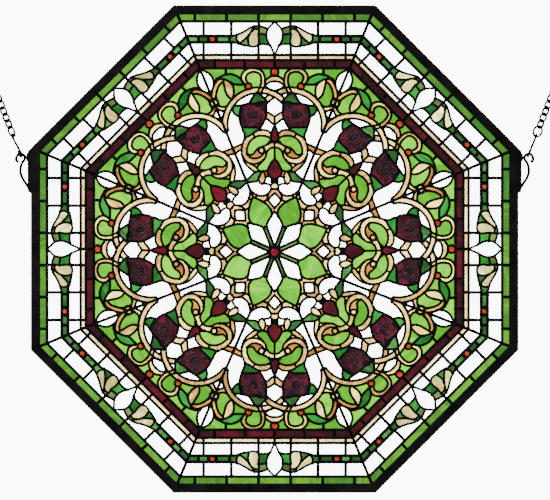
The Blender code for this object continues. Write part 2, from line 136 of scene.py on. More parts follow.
scroll_lines = [
    [(0, 226), (5, 225.1), (9, 222.6), (12.4, 219.6)],
    [(0, 218.6), (5, 218.2), (8.6, 216.6), (12.3, 213)],
    [(0, 206.4), (6, 208.2), (12.3, 213)],
    [(19, 201.8), (16, 207.5), (13.4, 212.5), (12.3, 218), (12.8, 224), (14.4, 229), (17.4, 232.4),
     (22, 234.7), (28, 235.3), (35.6, 234.4), (41, 230.2), (43.6, 224.6), (43.2, 221)],
    [(23.4, 204), (20.4, 208.6), (18.4, 213.3), (17.4, 218), (17.6, 223.4), (19.2, 228), (23.6, 230.4),
     (29, 230.8), (33.6, 229.2), (37, 226), (37.7, 222.6), (36.6, 219.4), (35, 216.4)],
    [(43.2, 221), (41.4, 217.6), (38, 214.5)],
    [(43.2, 221), (46, 223.6), (51.5, 226.4), (57, 227.9), (62, 227.5), (66.6, 226.3), (71, 224),
     (75.4, 221.4), (79.4, 217.5)],
    [(38.2, 214.6), (42.2, 214.5), (47, 214.5), (52.4, 214.7), (57.4, 217), (62.5, 219.9),
     (67.6, 221.6), (75.4, 221.4)],
    [(57.4, 217), (54.2, 212.6), (53.2, 206.6), (53.6, 200.8), (55, 196.4)],
    [(67.6, 221.6), (66.4, 216), (65, 210), (63.4, 204), (60.8, 199.4), (56.4, 196)],
    [(68.3, 221.6), (73.6, 220.6), (77.2, 216.4), (79.8, 211.4), (81.4, 206.6), (82, 202.6),
     on_corner_line(199.6)],
    [(67, 218.4), (71.6, 214.4), (74.4, 209), (76, 203.4), (76.8, 198.4), on_corner_line(193.4)],
    [(76.6, 199.6), (75.2, 194), (73, 189.6), (72.3, 186.9)],
    [(62.2, 187.2), (67.4, 185.8), (72.3, 186.9), on_corner_line(187.4)],
    [(64.9, 180), (70, 181), (73.8, 182.8), on_corner_line(182.8)],
    [(66.6, 180.2), (66.7, 176.8), (68, 173.4), on_corner_line(170.2)],
    [(97.6, 235.6), (91.4, 231.7), (85.6, 228.6), (81.4, 223.4), (79.4, 217), (79.8, 211.4),
     (82.1, 206), on_corner_line(202.6)],
    [(10.9, 194.4), (14.4, 198.2), (17.8, 201.8), (20.5, 204)],
    [(20.5, 204), (24.8, 203.2), (28, 199.6), (31, 194.6), (33.8, 190.5)],
    [(10.9, 194.4), (13.4, 192.2), (18, 192.6), (22, 190.9), (27.5, 190.2), (33.8, 190.5),
     (39, 189.3), (44, 188.2), (50, 187.6), (53.2, 187.6)],
    [(54.9, 185.2), (55, 181.8), (52.8, 177.6), (49.4, 174.8), (46, 173)],
    [(43, 188.4), (44.8, 182), (46, 176.4), (46, 173), (45.2, 166), (42.7, 159.6)],
    [(8.8, 191.4), (10.9, 194.4), (10.8, 189), (10.9, 184), (10.7, 179.4), (11.4, 173), (14.8, 165.6),
     (19.4, 158.4), (20.6, 156.4)],
    [(0, 174), (4.2, 176.6), (7.8, 178.8), (10.7, 179.4)],
    [(0, 163.6), (4.4, 166.2), (8, 169.6), (11.8, 171.4)],
    [(19.4, 158.4), (24, 160.2), (33, 160.2), (42.7, 159.6), (41.6, 155.4), (39.7, 150.8),
     (39.6, 145.4)],
    arc(STRAP_MIDDLE, STRAP_OUTER, 3.6, 115.3),
    arc(STRAP_MIDDLE, STRAP_INNER, -9.0, 108.2),
    [on_corner_line(152.4), (61.0, 156.6)],
    arc((-STRAP_MIDDLE[0], STRAP_MIDDLE[1]), STRAP_OUTER, 54.1, 44.5),
    arc((-STRAP_MIDDLE[0], STRAP_MIDDLE[1]), STRAP_INNER, 60.0, 42.8),
]

knot_lines = [
    [(0, 163.6), (1.7, 160), (3.6, 155), (4.2, 151.4)],
    [(4.2, 151.4), (8, 155.4), (14, 157), (19.4, 156.6), (24.4, 155), (28.4, 152.3), (32, 149.8),
     (35.6, 148.2), (39.6, 145.4), (41.4, 141.4), (43, 136.8), (43.8, 131.2), (43.6, 125.8)],
    [(4.2, 151.4), (5.7, 147), (4.4, 143.4), (0, 141)],
    [(5.7, 146), (9.5, 148.3), (15, 149.5), (21, 149.3), (26.2, 147.5), (30, 144.8), (33, 141.4),
     (35.4, 136.6), (36.7, 131), (36.4, 126)],
    [(26.2, 147.5), (28.4, 152.3)],
    [(0, 141), (4.4, 140.7), (8.4, 139.2), (12.4, 136.8), (16.4, 135.2), (20.4, 134.2), (24, 131.4),
     (26.3, 128.3), (28.6, 125.6), (32.2, 124.8), (36.4, 126)],
    [(4.4, 143.4), (6.6, 142.4), (8.4, 139.2)],
    [(0, 134.6), (4.6, 133.8), (8.2, 131.4), (10.5, 128), (11.4, 124.4), (13, 120.8), (17, 116.8),
     (22, 114.3), (28, 113.3), (34, 114.3), (38.8, 117.8), (41.6, 121.8), (43.6, 125.8)],
    [(12.6, 129.8), (14.4, 126.6), (16.5, 124.2), (20, 121.7), (25, 120.3), (30, 120.8), (34, 123),
     (36.4, 126)],
    [(14.6, 135.8), (12.6, 129.8), (10.2, 128.6)],
    [(15, 118.7), (18.4, 114.4), (21.6, 111.6), (23.5, 108.5)],
    [(21.4, 104.9), (24, 108.4), (28, 111.3), (31.4, 113.6)],
    [(26.2, 102.8), (32.4, 107), (37.8, 112.2), (41.6, 118), (43.6, 125.8)],
    [(0, 119.6), (4, 115.8), (7, 110.6), (9.3, 105.6), (9.7, 102.2), (7.2, 98), (3.6, 94.9), (0, 93.7)],
    [(9.3, 105.6), (15, 103.7), (21.4, 104.9)],
    [(42, 139.4), (46, 137.7), (50.2, 135.8), on_corner_line(133.4)],
    [(43.8, 131.2), (48, 129.5), on_corner_line(125.6)],
    [(15, 103.7), (21.6, 103.8), (26.2, 102.8), (31, 98.8), (34.8, 95.2), on_corner_line(92.4)],
    [(16.6, 103.8), (19.3, 99.4), (21.3, 95.6), (21.7, 92.6), (24.4, 90.8), (30, 90.1),
     on_corner_line(89.6)],
    [(21.7, 92.6), (20.2, 89), (17, 87.6), (13.9, 90.2), (12.4, 94.6), (12.7, 99), (15, 103.7)],
    [(7.2, 98), (10, 96.6), (12.5, 96.6)],
    [(3.6, 94.9), (4.4, 91), (3.6, 88.5)],
    [(0, 89.6), (3.6, 88.5), (5.2, 85.4), (4.5, 80.9)],
    [(5.2, 85.4), (8, 87.4), (13, 88.1), (17, 87.6)],
]

inner_lines = [
    [(0, 81), (2.4, 81.4), (4.5, 80.9), (7.4, 77), (11, 74), (16, 72.4), (22, 72.8), (27.6, 75.4),
     on_corner_line(79.8)],
    [(0, 75.6), (3.4, 73), (6.6, 69.6), (8.8, 66.6)],
    [(8.8, 66.6), (12.2, 66.3), (15.6, 64.8)],
    [(8.6, 75.6), (9.8, 71.4), (10, 66.8)],
    [(24.6, 73.6), (25.4, 69.4)],
    [(0, 57), (4.4, 61.2), (8.8, 66.6)],
    [(4.9, 45.6), (4, 49.4), (5, 54.6), (8.6, 59.4), (14, 63.8), (20, 67), on_corner_line(71.2)],
    [(0, 52.2), (2.9, 48.9), (5.3, 45.2), (8, 41.2), (10, 37.4), (10.9, 34.4), (10.6, 32.4)],
    [(10.6, 32.4), on_corner_line(32.8)],
]

rose_seams = [
    [(26.6, 178.1), (27.6, 180.2), (31, 178.4), (30.6, 174.8), (27.4, 173.6), (25.6, 176),
     (26.6, 178.1)],
    [(23.2, 172.8), (22, 177.4), (24.4, 182.2), (29, 183.6), (33, 181)],
    [(33.4, 184.4), (35.6, 178.6), (34, 173.2), (29.6, 170.4), (24.8, 170.8), (21.6, 174)],
    [(28.4, 173.7), (29.6, 170.4)],
    [(24.4, 182.2), (27.6, 180.2)],
    [(31, 178.4), (35.4, 178.6)],
    [(18.2, 172.2), (17.4, 178.8), (20.4, 184.8), (26, 187.6), (33.4, 186), (38, 182.6)],
    [(39, 189.3), (40, 182.6), (39.4, 175), (35.6, 169), (29.4, 166), (22.8, 166.6), (18.2, 170),
     (15.4, 175.6)],
    [(20.4, 184.8), (22.6, 179.6)],
    [(11.2, 176), (14.2, 181), (15.2, 186), (13.4, 192.2)],
    [(15.2, 186), (19.8, 184.2)],
    [(24.6, 190.6), (26.4, 187.5)],
    [(18.2, 170), (15, 166.2)],
    [(26, 166.1), (27.6, 160.4)],
    [(35.6, 169), (38.4, 164.6), (42.8, 161.6)],
    [(39.4, 175), (46, 174.6)],
    [(29.4, 166), (33, 163.4), (34.6, 160.2)],
]

straight_leads = [
    [(0, 134.6), (0, 141)],
    [(0, 119.6), (0, 134.6)],
    [(0, 163.6), (0, 174)],
    [(3.2, 206.9), (0.0, 206.4)],
]

# Seen from the front, the strap from the left passes over the strap from the right.
over_strap = [
    arc((-STRAP_MIDDLE[0], STRAP_MIDDLE[1]), STRAP_OUTER, 64.7, 54.1, 3.0),
    arc((-STRAP_MIDDLE[0], STRAP_MIDDLE[1]), STRAP_INNER, 71.7, 60.0, 3.0),
]

corner_leads = [[on_corner_line(235.5), on_corner_line(71.2)]]
stem_leads = [[(0.5, 7.8), (10.6, 32.4)]]

ROUND_LEADS = {
    "axis_jewel": ((0.0, 230.5), 5.1),
    "border_jewel": ((81.05, 273.2), 4.3),
    "scroll_jewel": ((34.2, 212.4), 4.3),
    "cream_nub": ((17.4, 130.6), 3.7),
    "corner_nub": ((76.7, 191.8), 3.3),
}

# %% [markdown]
# ## From half a side to the whole window
#
# Bent lead is drawn through its points with a smooth curve. Each half is then mirrored and turned
# about the centre, and the circles of lead round the jewels go in with them. The real panel was
# laid out by hand and its middle sits a little low and narrow, so each point is set that way too.
# The shift is greatest in the middle and dies away at the ruby band.

# %% Sixteen copies of the drawing
def smooth(points, step=2.6):
    """A curve through the points that doesn't overshoot where they lie unevenly."""
    if len(points) == 2:
        return points
    spots = np.array(points, float)
    gaps = np.maximum(np.linalg.norm(np.diff(spots, axis=0), axis=1), 1e-6)
    closed = np.allclose(spots[0], spots[-1])
    before = spots[-2] if closed else 2 * spots[0] - spots[1]
    after = spots[1] if closed else 2 * spots[-1] - spots[-2]
    padded = np.vstack([before, spots, after])
    curve = []
    for i, gap in enumerate(gaps):
        p0, p1, p2, p3 = padded[i : i + 4]
        knots = np.cumsum([0, *np.linalg.norm(np.diff(padded[i : i + 4], axis=0), axis=1) ** 0.5])
        for part in np.arange(0, 1, 1 / max(1, round(gap / step))):
            t = knots[1] + (knots[2] - knots[1]) * part
            a = [p + (q - p) * (t - s) / (e - s) for p, q, s, e in
                 ((p0, p1, knots[0], knots[1]), (p1, p2, knots[1], knots[2]),
                  (p2, p3, knots[2], knots[3]))]
            b = [a[j] + (a[j + 1] - a[j]) * (t - knots[j]) / (knots[j + 2] - knots[j]) for j in (0, 1)]
            curve.append(tuple(b[0] + (b[1] - b[0]) * (t - knots[1]) / (knots[2] - knots[1])))
    return curve + [tuple(spots[-1])]


def run_on(points, extra=1.2):
    """Lets an open line run on a little at both ends, so that it surely meets the next lead."""
    spots = [Vector(point) for point in points]
    if (spots[0] - spots[-1]).length < 1e-6:
        return points
    first = spots[0] + (spots[0] - spots[1]).normalized() * extra
    last = spots[-1] + (spots[-1] - spots[-2]).normalized() * extra
    return [tuple(first), *points, tuple(last)]


def circle(middle, radius, count=14):
    return [(middle[0] + radius * math.sin(2 * math.pi * i / count),
             middle[1] + radius * math.cos(2 * math.pi * i / count)) for i in range(count + 1)]


ROSETTE_DROP = 3.9
ROSETTE_NARROWING = 0.055


def placed(point, turn, side):
    """A drawn point, mirrored if side is -1, turned about the centre and set where it sits."""
    x = side * point[0] * math.cos(turn) + point[1] * math.sin(turn)
    y = point[1] * math.cos(turn) - side * point[0] * math.sin(turn)
    out = min(math.hypot(x, y) / RINGS["field"], 1.0)
    narrow = ROSETTE_NARROWING * min(1.27 * (1 - out), 1.0) ** 2
    return (x * (1 - narrow), y - ROSETTE_DROP * (1 - out**1.5))


def copies(lines, sides=(1, -1)):
    return [[placed(point, EIGHTH * k, side) for point in run_on(line)]
            for k in range(8) for side in sides for line in lines]


def octagon(apothem):
    return [placed(on_corner_line(apothem), EIGHTH * k, 1) for k in range(9)]


nub_circles = [circle(*ROUND_LEADS[name]) for name in ROUND_LEADS if name != "axis_jewel"]
axis_circle = [circle(*ROUND_LEADS["axis_jewel"])]
centre_ring = [circle((0.0, -ROSETTE_DROP), 7.2, 32)]

came = {
    "border_lead": copies(border_joints)
    + [octagon(RINGS[name]) for name in ("edge", "cream", "ruby", "field")],
    "spray_lead": copies([smooth(line) for line in spray_lines]),
    "scroll_lead": copies([smooth(line) for line in scroll_lines])
    + copies([smooth(line) for line in over_strap], (1,))
    + copies(axis_circle, (1,)),
    "knot_lead": copies([smooth(line) for line in knot_lines]) + copies(straight_leads)
    + copies(nub_circles),
    "spoke_lead": copies(corner_leads, (1,)),
    "inner_lead": copies([smooth(line) for line in inner_lines]) + copies(stem_leads) + centre_ring,
    "rose_seams": copies([smooth(line, 2.2) for line in rose_seams]),
}
all_lines = [line for lines in came.values() for line in lines] + [octagon(CHANNEL_LIP + 1)]
print(len(all_lines), "lead lines")

# %% [markdown]
# ## Cutting the glass
#
# Every area that the lead encloses is one piece of glass. A triangulation that keeps all the
# lines is cut apart along them, and the triangles that still hang together are one piece. Its
# edge is drawn in a little, because a glazier grinds each piece to sit inside the lead.

# %% Pieces between the lines
GROUND_OFF = 0.45


def triangulate(lines):
    points = [Vector(point) for line in lines for point in line]
    ends = np.cumsum([0] + [len(line) for line in lines])
    edges = [(i, i + 1) for a, b in zip(ends, ends[1:]) for i in range(a, b - 1)]
    found = delaunay_2d_cdt(points, edges, [], 0, 0.02)
    kept = {tuple(sorted(edge)) for edge, origin in zip(found[1], found[4]) if origin}
    spots = np.array([tuple(point) for point in found[0]])
    faces = np.array([face for face in found[2]])
    p, q, r = (spots[faces[:, i]] for i in range(3))
    turning = (q[:, 0] - p[:, 0]) * (r[:, 1] - p[:, 1]) - (q[:, 1] - p[:, 1]) * (r[:, 0] - p[:, 0])
    faces[turning < 0] = faces[turning < 0][:, ::-1]
    return spots, faces[np.abs(turning) > 1e-9], kept


def hang_together(faces, kept):
    """Numbers the groups of triangles that no lead line parts."""
    across = {}
    for i, (a, b, c) in enumerate(faces.tolist()):
        for edge in ((a, b), (b, c), (c, a)):
            across.setdefault(tuple(sorted(edge)), []).append(i)
    parent = list(range(len(faces)))

    def root(i):
        while parent[i] != i:
            parent[i] = parent[parent[i]]
            i = parent[i]
        return i

    for edge, pair in across.items():
        if len(pair) == 2 and edge not in kept:
            parent[root(pair[0])] = root(pair[1])
    return np.array([root(i) for i in range(len(faces))])


spots, triangles, seams = triangulate(all_lines)
piece_of = hang_together(triangles, seams)
p, q, r = (spots[triangles[:, i]] for i in range(3))
areas = 0.5 * ((q[:, 0] - p[:, 0]) * (r[:, 1] - p[:, 1]) - (q[:, 1] - p[:, 1]) * (r[:, 0] - p[:, 0]))
piece_area = {}
for number, area in zip(piece_of.tolist(), areas.tolist()):
    piece_area[number] = piece_area.get(number, 0) + area
print(len(triangles), "triangles in", len(piece_area), "pieces")


def piece_at(point):
    """The piece of glass under a drawn point, or None."""
    x, y = point
    turns = [(b[:, 0] - a[:, 0]) * (y - a[:, 1]) - (b[:, 1] - a[:, 1]) * (x - a[:, 0])
             for a, b in ((p, q), (q, r), (r, p))]
    inside = np.flatnonzero(np.min(turns, axis=0) >= 0)
    return int(piece_of[inside[0]]) if len(inside) else None


# %% [markdown]
# ## Choosing the glass
#
# Each kind of glass is named once, with a point inside every piece that is cut from it. A piece
# that nothing names is a small gap between leads, and a glazier floods those with solder.

# %% The glass list
GLASS = {
    "edge_tiles": ("border_green", "border_green_glass", ["edge_glass"],
                   [(10, 301), (40, 301), (83, 301), (114, 301)]),
    "outer_clear_tiles": ("clear_ripple", "clear_glass", ["outer_tiles"],
                          [(15, 293.2), (40, 291), (75, 287), (103, 287), (3, 281)]),
    "inner_clear_tiles": ("clear_ripple", "clear_glass", ["inner_tiles"],
                          [(12, 260), (38, 258), (75, 261), (98, 261)]),
    "stem_glass": ("deep_green", "emerald_glass", ["stem_band"],
                   [(54, 273.3), (27, 96.6), (67, 273), (93, 273), (105, 273), (76.6, 270),
                    (76.6, 276.6), (85.6, 270), (85.6, 276.6), (38, 269.5)]),
    "spray_leaves": ("emerald", "emerald_glass", [], [(15, 273)]),
    "spray_petals": ("cream_petal", "cream_glass", [], [(27, 275), (42, 277.5)]),
    "cream_border": ("pale_cream", "cream_glass", ["cream_band"],
                     [(10, 249.4), (38, 249.4), (75, 249.4), (97, 249.4)]),
    "ruby_border": ("ruby", "ruby_glass", ["ruby_band"],
                    [(20, 240.7), (58, 240.7), (86, 240.7)]),
    "green_ground": ("spring_green", "leaf_green_glass", ["background"],
                     [(9.5, 231), (52, 231), (72, 231), (45.5, 209), (67, 195), (25, 218), (20, 142),
                      (6, 124)]),
    "cream_straps": ("caramel", "cream_glass", ["strapwork"],
                     [(4, 222), (0, 202.6), (13, 206), (6, 197.6), (38, 203.8), (64.5, 170),
                      (15, 218), (18, 206.9), (31, 233), (59, 208), (69, 183.6), (6, 173),
                      (39.4, 219), (12.7, 210.9)]),
    "knot_straps": ("caramel", "cream_glass", [],
                    [(15, 153), (38.4, 138), (5, 137.3), (26, 117), (32, 110), (17, 95),
                     (1.6, 85), (17.4, 130.6), (76.7, 191.8), (23.6, 109.1), (5.2, 142.2),
                     (73.3, 187.1)]),
    "scallops": ("caramel", "cream_glass", ["rosette_border"],
                 [(3.4, 76.4), (19, 69.4), (9.2, 71.6), (4.6, 58.6), (27, 72.6)]),
    "orange_scrolls": ("amber", "amber_cream_glass", [],
                       [(78, 209), (23, 126.6), (48.4, 133), (10, 99.8), (78, 217.7), (76.9, 196.4),
                        (82.5, 204.1)]),
    "roses": ("wine", "rose_ruby_glass", [f"rose_{i:02d}" for i in range(1, 17)],
              [(28.5, 176.8), (24, 175), (32.8, 176), (29, 182), (27.6, 185.4), (37.4, 178),
               (20, 177), (13.4, 176), (17, 189), (34, 188), (41.6, 181), (20, 189), (12.6, 187),
               (14, 170)]),
    # The lower petals take the wine red glass painted lighter, a painted highlight.
    "lower_rose_petals": ("painted_lit_wine", "rose_ruby_glass", [],
                          [(33, 169.8), (41.2, 168), (23, 163), (30, 163), (37.6, 161.8), (17, 169)]),
    "ruby_buds": ("bud_red", "ruby_glass", [], [(3, 106), (2, 150)]),
    "rose_leaves": ("emerald", "emerald_glass", [f"knot_{i:02d}" for i in range(1, 9)],
                    [(48.6, 181.6), (34, 154), (54, 221)]),
    "dark_calyx": ("deep_green", "emerald_glass", [], [(21, 197)]),
    "clear_field_glass": ("clear_ripple", "clear_glass",
                          ["clear_field"] + [f"heart_{i:02d}" for i in range(1, 9)],
                          [(4, 213), (14, 199), (38, 195), (51, 160), (4, 185), (9.5, 162), (46, 116),
                           (8.6, 92.6), (20, 80), (2.5, 65), (86, 217), (70, 176.4), (68.6, 167.1)]),
    "white_petals": ("clear_ripple", "white_glass", [f"petal_{i:02d}" for i in range(1, 9)],
                     [(2, 36)]),
    "leaf_star_glass": ("leaf_green", "leaf_green_glass", ["leaf_star"], [(17, 50)]),
    "stems": ("olive", "leaf_green_glass", [], [on_corner_line(20), (14.5, 284), (24.7, 289.2)]),
}
JEWELS = {
    "orange_jewels": ("fire_jewel", "red_jewel_glass", [],
                      [(0.0, 230.5, 4.6), (81.05, 273.2, 3.9), (34.2, 212.4, 3.8)]),
    "middle_jewel": ("rose_jewel", "red_jewel_glass", ["centre_jewel"], [(0.0, 0.0, 6.3)]),
}

kind_of = {}
for kind, (_, _, _, seeds) in {**GLASS, **JEWELS}.items():
    for seed in seeds:
        for k in range(8):
            for side in (1, -1):
                found = piece_at(placed(seed[:2], EIGHTH * k, side))
                if found is not None:
                    kind_of[found] = kind


def distance_out(places):
    """How far out each place lies, measured square to the nearest side of the octagon."""
    facing = np.array([[1, 0, 0.5**0.5, 0.5**0.5], [0, 1, 0.5**0.5, -(0.5**0.5)]])
    return np.max(np.abs(places @ facing), axis=1)


SMALLEST_GAP = 0.005
under_channel = distance_out(spots)[triangles].min(axis=1) > CHANNEL_LIP - 0.5
in_channel = set(piece_of[under_channel].tolist())
solder_gaps = [n for n, area in piece_area.items()
               if n not in kind_of and n not in in_channel and area > SMALLEST_GAP]
print(len(kind_of), "pieces of glass and", len(solder_gaps), "gaps for solder")

# %% [markdown]
# ## Making each piece solid
#
# Each piece becomes a thin closed slab with its own grain: sheet glass is rolled, so its streaks
# run one way, and every piece is cut from the sheet at its own angle. A second number, the tone,
# makes neighbouring pieces come from different parts of the sheet.

# %% Slabs of glass
GLASS_THICKNESS = 3.0
random.seed(11)


def slab(number, thickness, out):
    """Adds one piece to the lists of points, faces, grain coordinates and tones."""
    own = triangles[piece_of == number]
    sides = {(a, b) for face in own.tolist() for a, b in zip(face, face[1:] + face[:1])}
    rim = [(a, b) for a, b in sides if (b, a) not in sides]
    inward = {}
    for a, b in rim:
        along = spots[b] - spots[a]
        normal = np.array((-along[1], along[0])) / max(np.linalg.norm(along), 1e-9)
        for end in (a, b):
            inward.setdefault(end, []).append(normal)
    used = np.unique(own)
    index = {int(v): i for i, v in enumerate(used)}
    flat = spots[used].copy()
    for vertex, normals in inward.items():
        mean = np.mean(normals, axis=0)
        length = max(np.linalg.norm(mean), 0.5)
        flat[index[vertex]] += GROUND_OFF * mean / length**2
    count = len(out["points"])
    for depth in (-thickness / 2, thickness / 2):
        out["points"] += [(x * SCALE, depth * MM, y * SCALE + panel_middle) for x, y in flat]
    faces = [[index[v] + count for v in face] for face in own.tolist()]
    back = [[v + len(used) for v in reversed(face)] for face in faces]
    walls = [[index[b] + count, index[a] + count, index[a] + count + len(used),
              index[b] + count + len(used)] for a, b in rim]
    turn, shift = random.uniform(0, math.pi), (random.uniform(0, 2), random.uniform(0, 2))
    grain = flat @ np.array([[math.cos(turn), math.sin(turn)], [-math.sin(turn), math.cos(turn)]])
    out["grain"] += [tuple(g * MM + s for g, s in zip(spot, shift)) for spot in grain] * 2
    tone = random.random()
    out["faces"] += faces + back + walls
    out["tone"] += [tone] * (len(faces) * 2 + len(walls))


def mesh_piece(name, out, material):
    mesh = bpy.data.meshes.new(name)
    mesh.from_pydata(out["points"], [], out["faces"])
    grain = mesh.uv_layers.new(name="grain")
    if "grain" in out:
        corners = np.array([v for face in out["faces"] for v in face], int)
        grain.data.foreach_set("uv", np.array(out["grain"]).reshape(-1, 2)[corners].ravel())
    tone = mesh.attributes.new("tone", "FLOAT", "FACE")
    tone.data.foreach_set("value", np.array(out.get("tone", [0.5] * len(out["faces"])), np.float32))
    mesh.materials.append(material)
    obj = bpy.data.objects.new(name, mesh)
    bpy.context.scene.collection.objects.link(obj)
    return obj


# %% [markdown]
# ## Finishes
#
# Stained glass is coloured right through, so each colour is the shader's base colour with light
# passing through it. Opalescent glass has milk-white streaks that scatter the light, cathedral
# glass is clear colour, and the clear pieces are water glass with a faint ripple.

# %% Colours and materials
def linear(hex_colour):
    """An sRGB colour in hex as the linear values that the shader takes."""
    values = [int(hex_colour[i : i + 2], 16) / 255 for i in (1, 3, 5)]
    return tuple(v / 12.92 if v <= 0.04045 else ((v + 0.055) / 1.055) ** 2.4 for v in values) + (1.0,)


def node(tree, kind, links=(), **settings):
    """Adds a node with its settings: plain names are properties, names in capitals are inputs."""
    made = tree.nodes.new(kind)
    for name, value in settings.items():
        if name[0].isupper():
            made.inputs[name.replace("_", " ")].default_value = value
        else:
            setattr(made, name, value)
    for name, source in dict(links).items():
        tree.links.new(source, made.inputs[name])
    return made


def new_material(name, **values):
    material = bpy.data.materials.new(name)
    material.use_nodes = True
    shader = material.node_tree.nodes["Principled BSDF"]
    for socket, value in values.items():
        shader.inputs[socket.replace("_", " ")].default_value = value
    return material, material.node_tree, shader


def streaked(name, dark, middle, light, clear=0.6, rough=0.12, streak=0.012, tones=0.35):
    """Rolled art glass: three shades of one colour drawn out along the grain."""
    material, tree, shader = new_material(
        name, Roughness=rough, IOR=1.52, Transmission_Weight=clear)
    grain = node(tree, "ShaderNodeUVMap", uv_map="grain").outputs["UV"]
    drawn = node(tree, "ShaderNodeMapping", {"Vector": grain}, Scale=(1 / streak, 0.22 / streak, 1))
    wisps = node(tree, "ShaderNodeTexNoise", {"Vector": drawn.outputs[0]}, Scale=1.0, Detail=5.0,
                 Roughness=0.6, Distortion=0.8)
    tone = node(tree, "ShaderNodeAttribute", attribute_name="tone")
    shift = node(tree, "ShaderNodeMath", {0: tone.outputs["Fac"]}, operation="MULTIPLY_ADD")
    shift.inputs[1].default_value = tones
    shift.inputs[2].default_value = -tones / 2
    place = node(tree, "ShaderNodeMath", {0: wisps.outputs["Fac"], 1: shift.outputs[0]},
                 operation="ADD")
    shades = node(tree, "ShaderNodeValToRGB", {"Fac": place.outputs[0]})
    ramp = shades.color_ramp.elements
    ramp[0].position, ramp[0].color = 0.3, linear(dark)
    ramp[1].position, ramp[1].color = 0.72, linear(light)
    ramp.new(0.5).color = linear(middle)
    tree.links.new(shades.outputs["Color"], shader.inputs["Base Color"])
    ripple(tree, shader, grain, 0.006, 0.25)
    return material


def ripple(tree, shader, coordinates, size, strength):
    """The gentle waves that rollers leave in hand-rolled sheet glass."""
    waves = node(tree, "ShaderNodeTexNoise", {"Vector": coordinates}, Scale=1 / size, Detail=2.0)
    bump = node(tree, "ShaderNodeBump", {"Height": waves.outputs["Fac"]}, Strength=strength,
                Distance=0.0006)
    tree.links.new(bump.outputs["Normal"], shader.inputs["Normal"])


def water_glass():
    """Clear water glass: a hair of green in the edge and a soft ripple that bends what is behind."""
    material, tree, shader = new_material(
        "clear water glass", Base_Color=linear("#F6FAFA"), Roughness=0.02, IOR=1.52,
        Transmission_Weight=1.0)
    grain = node(tree, "ShaderNodeUVMap", uv_map="grain").outputs["UV"]
    ripple(tree, shader, grain, 0.009, 0.35)
    return material


def faceted(name, dark, light):
    """Pressed glass jewel: clear saturated colour in soft clouds of two shades."""
    material, tree, shader = new_material(name, Roughness=0.05, IOR=1.52, Transmission_Weight=0.7)
    place = node(tree, "ShaderNodeTexCoord").outputs["Object"]
    cloud = node(tree, "ShaderNodeTexNoise", {"Vector": place}, Scale=180.0, Detail=2.0)
    shades = node(tree, "ShaderNodeValToRGB", {"Fac": cloud.outputs["Fac"]})
    ramp = shades.color_ramp.elements
    ramp[0].position, ramp[0].color = 0.35, linear(dark)
    ramp[1].position, ramp[1].color = 0.65, linear(light)
    tree.links.new(shades.outputs["Color"], shader.inputs["Base Color"])
    return material


def dark_metal(name, dark, light, rough, grain_size):
    """Lead, solder or wire under black patina, rubbed a little brighter in places."""
    material, tree, shader = new_material(name, Metallic=1.0)
    place = node(tree, "ShaderNodeTexCoord").outputs["Object"]
    worn = node(tree, "ShaderNodeTexNoise", {"Vector": place}, Scale=1 / grain_size, Detail=4.0)
    shades = node(tree, "ShaderNodeValToRGB", {"Fac": worn.outputs["Fac"]})
    ramp = shades.color_ramp.elements
    ramp[0].position, ramp[0].color = 0.4, linear(dark)
    ramp[1].position, ramp[1].color = 0.75, linear(light)
    tree.links.new(shades.outputs["Color"], shader.inputs["Base Color"])
    shine = node(tree, "ShaderNodeMapRange", {"Value": worn.outputs["Fac"]})
    shine.inputs["To Min"].default_value = rough + 0.08
    shine.inputs["To Max"].default_value = rough - 0.08
    tree.links.new(shine.outputs["Result"], shader.inputs["Roughness"])
    bump = node(tree, "ShaderNodeBump", {"Height": worn.outputs["Fac"]}, Strength=0.3,
                Distance=0.0003)
    tree.links.new(bump.outputs["Normal"], shader.inputs["Normal"])
    return material


